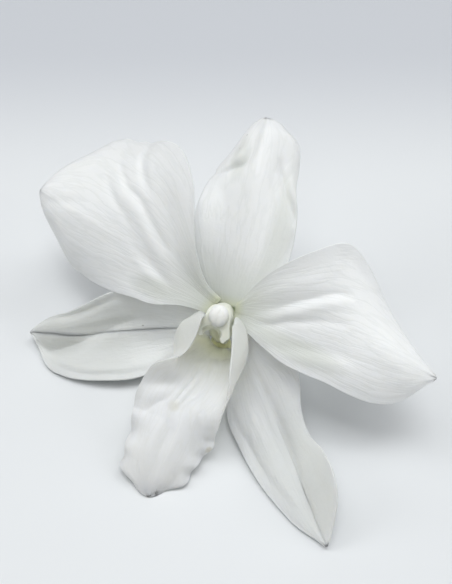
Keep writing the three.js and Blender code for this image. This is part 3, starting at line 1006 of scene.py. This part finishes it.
@dataclass(frozen=True)
class Ruffle:
    """Fine teeth on a body's rim: their height as a share of its reach, and where they come in."""

    height: float
    count: float
    along: Pair
    down: Pair

    def swell(self, t: np.ndarray, from_top: np.ndarray) -> np.ndarray:
        """Returns how far the teeth widen the body, as a share of its reach."""
        where = ramp(*self.along, t) * ramp(*self.down, from_top)
        return self.height * where * np.sin(TURN * self.count * from_top)


@dataclass(frozen=True)
class Body:
    """A solid round a centre line, with both sides alike."""

    name: str
    stations: Sequence[Station]
    place: Place
    slot: str
    finish: Finish
    sides: int
    rings: int
    ruffle: Ruffle | None = None

    def cut_rings(self, piece: bpy.types.Object) -> None:
        """Cuts rings into a cylinder, across the edges that run from end to end."""
        bpy.ops.object.mode_set(mode="EDIT")
        bpy.ops.mesh.select_mode(type="EDGE")
        bpy.ops.mesh.select_all(action="DESELECT")
        bpy.ops.object.mode_set(mode="OBJECT")
        for edge in piece.data.edges:
            a, b = (piece.data.vertices[i].co for i in edge.vertices)
            edge.select = abs(a.z - b.z) > 1
        bpy.ops.object.mode_set(mode="EDIT")
        bpy.ops.mesh.subdivide(number_cuts=self.rings - 2)
        bpy.ops.object.mode_set(mode="OBJECT")

    def model(self) -> bpy.types.Object:
        """Shapes a cylinder into the body, and returns it."""
        deselect()
        bpy.ops.mesh.primitive_cylinder_add(vertices=self.sides, radius=1, depth=2, end_fill_type="TRIFAN")
        piece = name_new(self.name)
        self.cut_rings(piece)
        start = read_points(piece)
        t = np.clip((start[:, 2] + 1) / 2, 0, 1)
        turn = np.arctan2(start[:, 0], start[:, 1]) / TURN % 1
        rim = np.minimum(np.hypot(start[:, 0], start[:, 1]), 1)
        write_points(piece, self.shell(t, turn, rim), self.place)
        merge_doubles(piece)
        return piece

    def shell(self, t: np.ndarray, turn: np.ndarray, rim: np.ndarray) -> np.ndarray:
        """Returns the body's points.

        Args:
            t: places along the centre line.
            turn: places round it, as shares of a turn from straight up.
            rim: 0 on the centre line and 1 on the skin.

        Returns:
            The points, in millimetres.
        """
        centre, tangent = trace([station.centre for station in self.stations], t)
        upward = -np.cross([1.0, 0, 0], tangent)
        upward /= np.linalg.norm(upward, axis=-1, keepdims=True)
        from_top = 1 - np.abs(1 - 2 * turn)
        reaches = np.stack([smooth(station.reach, from_top) for station in self.stations])
        reach = smooth(reaches, t, each=True) * rim
        if self.ruffle:
            reach = reach * (1 + self.ruffle.swell(t, from_top))
        sideways = np.zeros_like(centre)
        sideways[:, 0] = np.sin(TURN * turn) * reach
        return centre + sideways + upward * (np.cos(TURN * turn) * reach)[:, None]

    def build(self) -> None:
        """Models the body and dresses it."""
        hand_over(self.model(), [self.name], self.finish)


COLUMN_BODY = Body(
    "column",
    stations=(
        Station((0, 0, -1.6), [1.6, 1.7, 1.8, 1.9, 1.8, 1.8, 1.8]),
        Station((0, 0, 0), [1.7, 1.7, 1.8, 2.0, 2.2, 2.2, 2.2]),
        Station((0, 0, 2), [1.6, 1.6, 1.8, 2.1, 2.4, 2.7, 2.4]),
        Station((0, 0, 4), [1.5, 1.6, 1.8, 2.2, 2.7, 4.1, 2.9]),
        Station((0, 0, 5.4), [1.5, 1.6, 1.9, 2.2, 2.8, 5.0, 3.3]),
        Station((0, 0, 6.4), [1.2, 1.3, 1.6, 2.0, 2.7, 5.2, 3.1]),
    ),
    place=Place.THROAT,
    slot="column",
    finish=COLUMN_SKIN,
    sides=96,
    rings=50,
    ruffle=Ruffle(0.05, 9.5, along=(0.8, 0.9), down=(0.6, 0.7)),
)
FOOT_BODY = Body(
    "column_foot",
    stations=(
        Station((0, -0.4, 0.4), [1.2, 2.3, 1.6]),
        Station((0.2, -2.1, -0.9), [0.8, 2.7, 1.0]),
        Station((0.5, -4.0, -2.9), [0.7, 2.1, 0.7]),
        Station((0.9, -5.4, -5.3), [0.6, 1.3, 0.6]),
    ),
    place=Place.THROAT,
    slot="column",
    finish=COLUMN_SKIN,
    sides=32,
    rings=30,
)
CHIN_BODY = Body(
    "mentum",
    stations=(
        Station((1.0, -5.6, -5.6), [1.3, 1.9, 1.0]),
        Station((1.4, -6.4, -7.4), [1.5, 1.9, 1.3]),
        Station((1.9, -7.1, -9.6), [0.7, 0.8, 0.7]),
    ),
    place=Place.THROAT,
    slot="stalk",
    finish=CHIN_SKIN,
    sides=40,
    rings=40,
)
STALK_BODY = Body(
    "pedicel",
    stations=(
        Station((-1.6, 26.0, 0.78), [1.0, 1.0, 1.0]),
        Station((-0.9, 20.4, 0.78), [1.0, 1.0, 1.0]),
        Station((-0.4, 14.4, 1.5), [1.1, 1.1, 1.1]),
        Station((-0.1, 9.0, 4.0), [1.3, 1.3, 1.3]),
        Station((0, 4.6, 8.0), [1.5, 1.5, 1.5]),
        Station((0, 2.4, 10.8), [1.7, 1.7, 1.4]),
        Station((-0.2, 1.6, 11.8), [3.8, 4.0, 0.9]),
    ),
    place=Place.ROW,
    slot="stalk",
    finish=STALK_SKIN,
    sides=48,
    rings=110,
)


@dataclass(frozen=True)
class Ball:
    """A stretched ball in the throat's frame, in millimetres."""

    radii: Point
    centre: Point

    SEGMENTS = 32

    def model(self, name: str) -> bpy.types.Object:
        """Adds the ball as a piece and returns it."""
        deselect()
        bpy.ops.mesh.primitive_uv_sphere_add(segments=self.SEGMENTS, ring_count=self.SEGMENTS // 2, radius=1)
        piece = name_new(name)
        write_points(piece, read_points(piece) * self.radii + self.centre, Place.THROAT)
        return piece


@dataclass(frozen=True)
class Column:
    """The column with its foot, its hollow stigma, and the bed of the pollen masses under the cap."""

    body: Body = COLUMN_BODY
    foot: Body = FOOT_BODY
    stigma: Ball = Ball((1.75, 1.25, 2.2), (-0.2, -3.7, 6.2))
    bed: Ball = Ball((1.25, 1.4, 1.0), (0.0, -0.45, 6.55))
    grain: float = 0.13
    smoothing_rounds: int = 3

    def build(self) -> None:
        """Joins body and foot, sinks the hollows into them, rounds the edges, and dresses the piece."""
        foot, piece = self.foot.model(), self.body.model()
        work_on(piece)
        foot.select_set(True)
        bpy.ops.object.join()
        modify(piece, "REMESH", mode="VOXEL", voxel_size=self.grain * MM)
        for hollow in (self.stigma.model("stigma_hollow"), self.bed.model("pollen_bed")):
            modify(piece, "BOOLEAN", operation="DIFFERENCE", object=hollow, solver="EXACT")
            bpy.data.objects.remove(hollow)
        modify(piece, "REMESH", mode="VOXEL", voxel_size=self.grain * MM)
        modify(piece, "SMOOTH", iterations=self.smoothing_rounds, factor=0.5)
        hand_over(piece, ["column"], self.body.finish)


@dataclass(frozen=True)
class AntherCap:
    """The cap over the pollen masses: a low dome with a groove down its back."""

    profile: Sequence[Pair] = ((0, 0), (1.5, 0), (1.72, 0.3), (1.6, 0.85), (1.1, 1.35), (0, 1.6))
    centre: Point = (0.05, -0.45, 6.5)
    stretch: float = 1.12
    groove_depth: float = 0.12
    groove_width: float = 0.25
    groove_rise: Pair = (0.3, 1.0)  # how high on the dome the groove comes in
    segments: int = 48
    rings: int = 40

    def build(self) -> None:
        """Raises a ball into the dome, and dresses it."""
        deselect()
        bpy.ops.mesh.primitive_uv_sphere_add(segments=self.segments, ring_count=self.rings, radius=1)
        piece = name_new("anther_cap")
        start = read_points(piece)
        polar = np.arccos(np.clip(start[:, 2], -1, 1)) / np.pi
        reach, height = smooth(self.profile, 1 - polar).T
        round_way = np.arctan2(start[:, 1], start[:, 0])
        x, y = reach * np.cos(round_way), reach * np.sin(round_way) * self.stretch
        dip = self.groove_depth * np.exp(-((x / self.groove_width) ** 2)) * ramp(*self.groove_rise, height)
        write_points(piece, np.stack([x, y, np.maximum(0, height) - dip], -1) + self.centre, Place.THROAT)
        merge_doubles(piece)
        hand_over(piece, ["anther_cap"], CAP_SKIN)


@dataclass(frozen=True)
class Stalk:
    """The stalk with the ovary at its upper end, flat where it lies on the table."""

    body: Body = STALK_BODY

    def build(self) -> None:
        """Models the stalk, flattens its underside, and dresses it."""
        piece = self.body.model()
        points = read_points(piece)
        points[:, 2] = np.maximum(0, points[:, 2])
        piece.data.vertices.foreach_set("co", points.ravel())
        hand_over(piece, ["pedicel"], self.body.finish)


@dataclass(frozen=True)
class Lamp:
    """A soft light: its azimuth from the camera's side towards the picture's right, elevation and power."""

    name: str
    azimuth: float
    elevation: float
    power: float


@dataclass(frozen=True)
class Studio:
    """The table top, the camera and the light."""

    table_colour: Colour = (0.74, 0.76, 0.775)
    # painted shade: the back of the table is darkened to stand in for the backdrop there, which gets less
    # light
    far_shade_colour: Colour = (0.57, 0.59, 0.625)
    far_edge: Pair = (0.045, 0.1)  # how far behind the joint the painted shade comes in
    mottling: float = 0.96
    mottling_scale: float = 6.0
    table_roughness: float = 0.6
    table_gloss: float = 0.3
    table_size: float = 3.0
    focal: float = 947.0  # in pixels
    sensor: float = 36.0
    sight: Pair = (0.01, 20)  # the nearest and the farthest that the camera sees
    camera_from_joint: Point = (45.507, -96.316, 132.535)  # in millimetres
    azimuth: float = 25.0
    elevation: float = 50.0
    lamps: tuple[Lamp, ...] = (
        Lamp("overhead", 0, 90, 2.9),
        Lamp("front", 0, 60, 1.0),
        Lamp("window_right", 120, 60, 1.55),
        Lamp("window_left", 240, 60, 1.2),
        Lamp("side_right", 90, 32, 1.1),
        Lamp("side_left", 270, 32, 1.25),
    )
    lamp_size: float = 0.4
    lamp_distance: float = 0.8
    lamp_colour: Colour = (0.985, 0.995, 1.0)
    surround_colour: Colour = (0.95, 0.97, 1.0)
    surround_strength: float = 0.04

    def camera(self) -> None:
        """Sets the camera where the photograph was taken from."""
        data = bpy.data.cameras.new("camera")
        data.sensor_fit, data.sensor_width, data.sensor_height = "VERTICAL", self.sensor, self.sensor
        data.lens = self.focal * self.sensor / IMAGE_HEIGHT
        data.clip_start, data.clip_end = self.sight
        camera = bpy.data.objects.new("camera", data)
        camera.location = JOINT_PLACE + Vector(self.camera_from_joint) * MM
        camera.rotation_euler = (math.radians(90 - self.elevation), 0, math.radians(self.azimuth))
        bpy.context.scene.collection.objects.link(camera)
        bpy.context.scene.camera = camera

    def table_skin(self) -> bpy.types.Material:
        """Returns a smooth pale board with the faintest mottling, and painted shade that darkens it towards
        the back.
        """
        material = bpy.data.materials.new("table")
        material.use_nodes = True
        n = Nodes(material.node_tree)
        place = n.object_place()
        darker = tuple(self.mottling * c for c in self.table_colour)
        cloud = n.noise(place, self.mottling_scale, 2.0)
        colour = n.blend(cloud, rgba(darker), rgba(self.table_colour))
        turn = math.radians(self.azimuth)
        away = Vector((-math.sin(turn), math.cos(turn), 0))
        back = n.add("VectorMath", {0: place, 1: away}, operation="DOT_PRODUCT").outputs["Value"]
        start, end = (edge + JOINT_PLACE.dot(away) for edge in self.far_edge)
        # painted shade towards the back
        colour = n.blend(n.window(back, start, end), colour, rgba(self.far_shade_colour))
        board = {
            "Base Color": colour,
            "Roughness": self.table_roughness,
            "Specular IOR Level": self.table_gloss,
        }
        n.add("OutputMaterial", {"Surface": n.add("BsdfPrincipled", board).outputs[0]})
        return material

    def table(self) -> None:
        """Lays the table top."""
        deselect()
        bpy.ops.mesh.primitive_plane_add(size=self.table_size)
        board = name_new("table")
        board.data.materials.append(self.table_skin())
        board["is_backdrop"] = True

    def hang(self, lamp: Lamp) -> None:
        """Hangs a square soft light that faces the bloom."""
        data = bpy.data.lights.new(lamp.name, "AREA")
        data.size, data.energy, data.color = self.lamp_size, lamp.power, self.lamp_colour
        way = math.radians(self.azimuth - 90 + lamp.azimuth)
        high = math.radians(lamp.elevation)
        out = Vector((math.cos(way) * math.cos(high), math.sin(way) * math.cos(high), math.sin(high)))
        light = bpy.data.objects.new(lamp.name, data)
        light.location = JOINT_PLACE + out * self.lamp_distance
        light.rotation_euler = out.to_track_quat("Z", "Y").to_euler()
        bpy.context.scene.collection.objects.link(light)

    def light(self) -> None:
        """Hangs the lamps round the bloom, in a faint pale surround."""
        world = bpy.data.worlds.new("surround")
        bpy.context.scene.world = world
        world.use_nodes = True
        n = Nodes(world.node_tree)
        glow = {"Color": rgba(self.surround_colour), "Strength": self.surround_strength}
        n.add("OutputWorld", {"Surface": n.add("Background", glow).outputs[0]})
        for lamp in self.lamps:
            self.hang(lamp)
        view = bpy.context.scene.view_settings
        view.view_transform, view.look = "Standard", "None"

    def build(self) -> None:
        """Sets up everything round the bloom."""
        self.camera()
        self.table()
        self.light()


def dress_pollen() -> None:
    """Gives the hidden pollen masses their waxy yellow."""
    for name in ("pollinium_left", "pollinium_right"):
        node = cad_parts[name]
        node.data.materials.clear()
        node.data.materials.append(POLLEN_SKIN.material())


def main() -> None:
    """Builds the surroundings, then the bloom piece by piece, and notes both boxes."""
    logging.basicConfig(level=logging.INFO, format="%(message)s")
    Studio().build()
    blades = (DORSAL_SEPAL, LEFT_PETAL, RIGHT_PETAL, LEFT_LATERAL_SEPAL, RIGHT_LATERAL_SEPAL, LIP)
    for piece in (*blades, Column(), AntherCap(), CHIN_BODY, Stalk()):
        piece.build()
    dress_pollen()
    boxes = {"cad": CAD_BOX, "visual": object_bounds()}
    boxes = {name: [list(corner) for corner in box] for name, box in boxes.items()}
    log.info("boxes %s", boxes)


if __name__ == "__main__":
    main()
